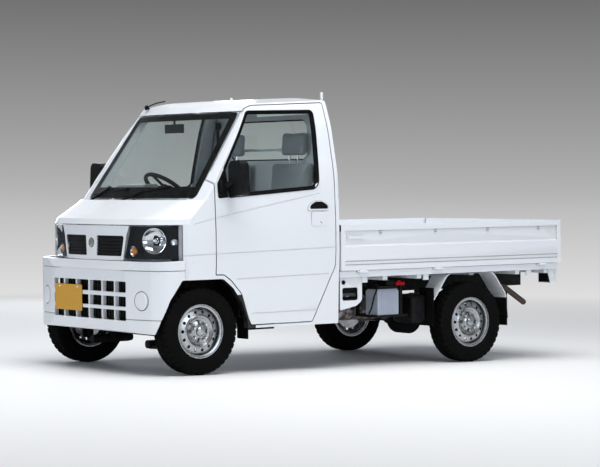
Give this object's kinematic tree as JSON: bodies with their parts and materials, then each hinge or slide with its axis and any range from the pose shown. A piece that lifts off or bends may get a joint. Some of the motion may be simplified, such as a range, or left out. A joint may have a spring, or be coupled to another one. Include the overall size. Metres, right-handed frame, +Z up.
{
  "type": "kei truck",
  "caption": "Small cab-over pickup with a drop-side bed, opening doors and gates, steered front wheels and a rear axle on leaf springs.",
  "frame": {"origin": "bottom centre of the truck's bounding box, on the road", "axes": "+X to the truck's own left, +Y to its rear, +Z up"},
  "size_m": [1.7876, 3.3993, 1.787],
  "materials": {
    "body_paint": "white gloss paint",
    "glass": "clear glass with a faint green tint",
    "black_plastic": "matt black moulding",
    "tyre": "black tread rubber",
    "wheel_paint": "silver paint",
    "chassis_black": "black chassis paint",
    "lamp_housing": "dark reflector housing",
    "lens": "clear lens",
    "lamp_red": "red lens",
    "trim_grey": "grey moulded trim",
    "seat_cloth": "grey woven cloth",
    "bare_steel": "dull steel",
    "cast_metal": "dull cast metal",
    "plate": "plain yellow, blank",
    "battery_case": "dark plastic case"
  },
  "bodies": {
    "chassis": {"battery": "battery_case", "battery_tray": "chassis_black", "bed_floor": "body_paint", "bed_headboard": "body_paint", "cab_floor": "chassis_black", "cab_front": "body_paint", "cab_rear_panel": "body_paint", "cab_roof": "body_paint", "cab_side_left": "body_paint", "cab_side_right": "body_paint", "chassis_frame": "chassis_black", "dashboard": "trim_grey", "engine": "cast_metal", "exhaust": "bare_steel", "front_bumper": "body_paint", "front_suspension": "chassis_black", "fuel_tank": "chassis_black", "grille_slats": "black_plastic", "headlamp_lenses": "lens", "headlamps": "lamp_housing", "interior_mirror": "black_plastic", "leaf_springs": "chassis_black", "number_plates": "plate", "prop_shaft": "bare_steel", "radiator": "chassis_black", "rear_arches": "black_plastic", "rear_axle": "chassis_black", "rear_window": "glass", "seats": "seat_cloth", "tail_lamps": "lamp_red", "upper_grille": "body_paint", "windscreen": "glass", "wipers": "black_plastic"},
    "steering_wheel": {"steering_wheel": "black_plastic"},
    "knuckle_left": {"knuckle_left": "chassis_black"},
    "knuckle_right": {"knuckle_right": "chassis_black"},
    "wheel_front_left": {"wheel_front_left": "wheel_paint", "tyre_front_left": "tyre"},
    "wheel_front_right": {"wheel_front_right": "wheel_paint", "tyre_front_right": "tyre"},
    "wheel_rear_left": {"wheel_rear_left": "wheel_paint", "tyre_rear_left": "tyre"},
    "wheel_rear_right": {"wheel_rear_right": "wheel_paint", "tyre_rear_right": "tyre"},
    "door_left": {"door_left": "body_paint", "door_glass_left": "glass", "door_mirror_left": "black_plastic"},
    "door_right": {"door_right": "body_paint", "door_glass_right": "glass", "door_mirror_right": "black_plastic"},
    "side_gate_left": {"side_gate_left": "body_paint"},
    "side_gate_right": {"side_gate_right": "body_paint"},
    "tailgate": {"tailgate": "body_paint"}
  },
  "joints": [
    {"name": "steer_left", "type": "hinge", "parent": "chassis", "child": "knuckle_left", "pos_m": [0.58274, -1.31945, 0.271], "axis": [-0.1824, -0.0189, 0.983], "range_deg": [-33, 33]},
    {"name": "steer_right", "type": "hinge", "parent": "chassis", "child": "knuckle_right", "pos_m": [-0.58274, -1.31945, 0.271], "axis": [0.1824, -0.0189, 0.983], "range_deg": [-33, 33]},
    {"name": "steering_turn", "type": "hinge", "parent": "chassis", "child": "steering_wheel", "pos_m": [-0.34, -0.88921, 1.14842], "axis": [0, 0.6018, 0.7987], "range_deg": [-530, 530]},
    {"name": "spin_front_left", "type": "hinge", "parent": "knuckle_left", "child": "wheel_front_left", "pos_m": [0.648, -1.31945, 0.271], "axis": [1, 0, 0], "continuous": true},
    {"name": "spin_front_right", "type": "hinge", "parent": "knuckle_right", "child": "wheel_front_right", "pos_m": [-0.648, -1.31945, 0.271], "axis": [1, 0, 0], "continuous": true},
    {"name": "spin_rear_left", "type": "hinge", "parent": "chassis", "child": "wheel_rear_left", "pos_m": [0.648, 0.88055, 0.271], "axis": [1, 0, 0], "continuous": true},
    {"name": "spin_rear_right", "type": "hinge", "parent": "chassis", "child": "wheel_rear_right", "pos_m": [-0.648, 0.88055, 0.271], "axis": [1, 0, 0], "continuous": true},
    {"name": "door_left_hinge", "type": "hinge", "parent": "chassis", "child": "door_left", "pos_m": [0.731, -1.22796, 1.00189], "axis": [0, 0.0192, -0.9998], "range_deg": [0, 65]},
    {"name": "door_right_hinge", "type": "hinge", "parent": "chassis", "child": "door_right", "pos_m": [-0.731, -1.22796, 1.00189], "axis": [0, -0.0192, 0.9998], "range_deg": [0, 65]},
    {"name": "side_gate_left_hinge", "type": "hinge", "parent": "chassis", "child": "side_gate_left", "pos_m": [0.7295, 0.72186, 0.63926], "axis": [0, 0.9998, 0.0192], "range_deg": [0, 175]},
    {"name": "side_gate_right_hinge", "type": "hinge", "parent": "chassis", "child": "side_gate_right", "pos_m": [-0.7295, 0.72186, 0.63926], "axis": [0, -0.9998, -0.0192], "range_deg": [0, 175]},
    {"name": "tailgate_hinge", "type": "hinge", "parent": "chassis", "child": "tailgate", "pos_m": [0, 1.69168, 0.65788], "axis": [-1, 0, 0], "range_deg": [0, 175]}
  ],
  "couplings": [
    {"joint": "steer_right", "follows": "steer_left", "ratio": 1},
    {"joint": "steering_turn", "follows": "steer_left", "ratio": 16}
  ]
}
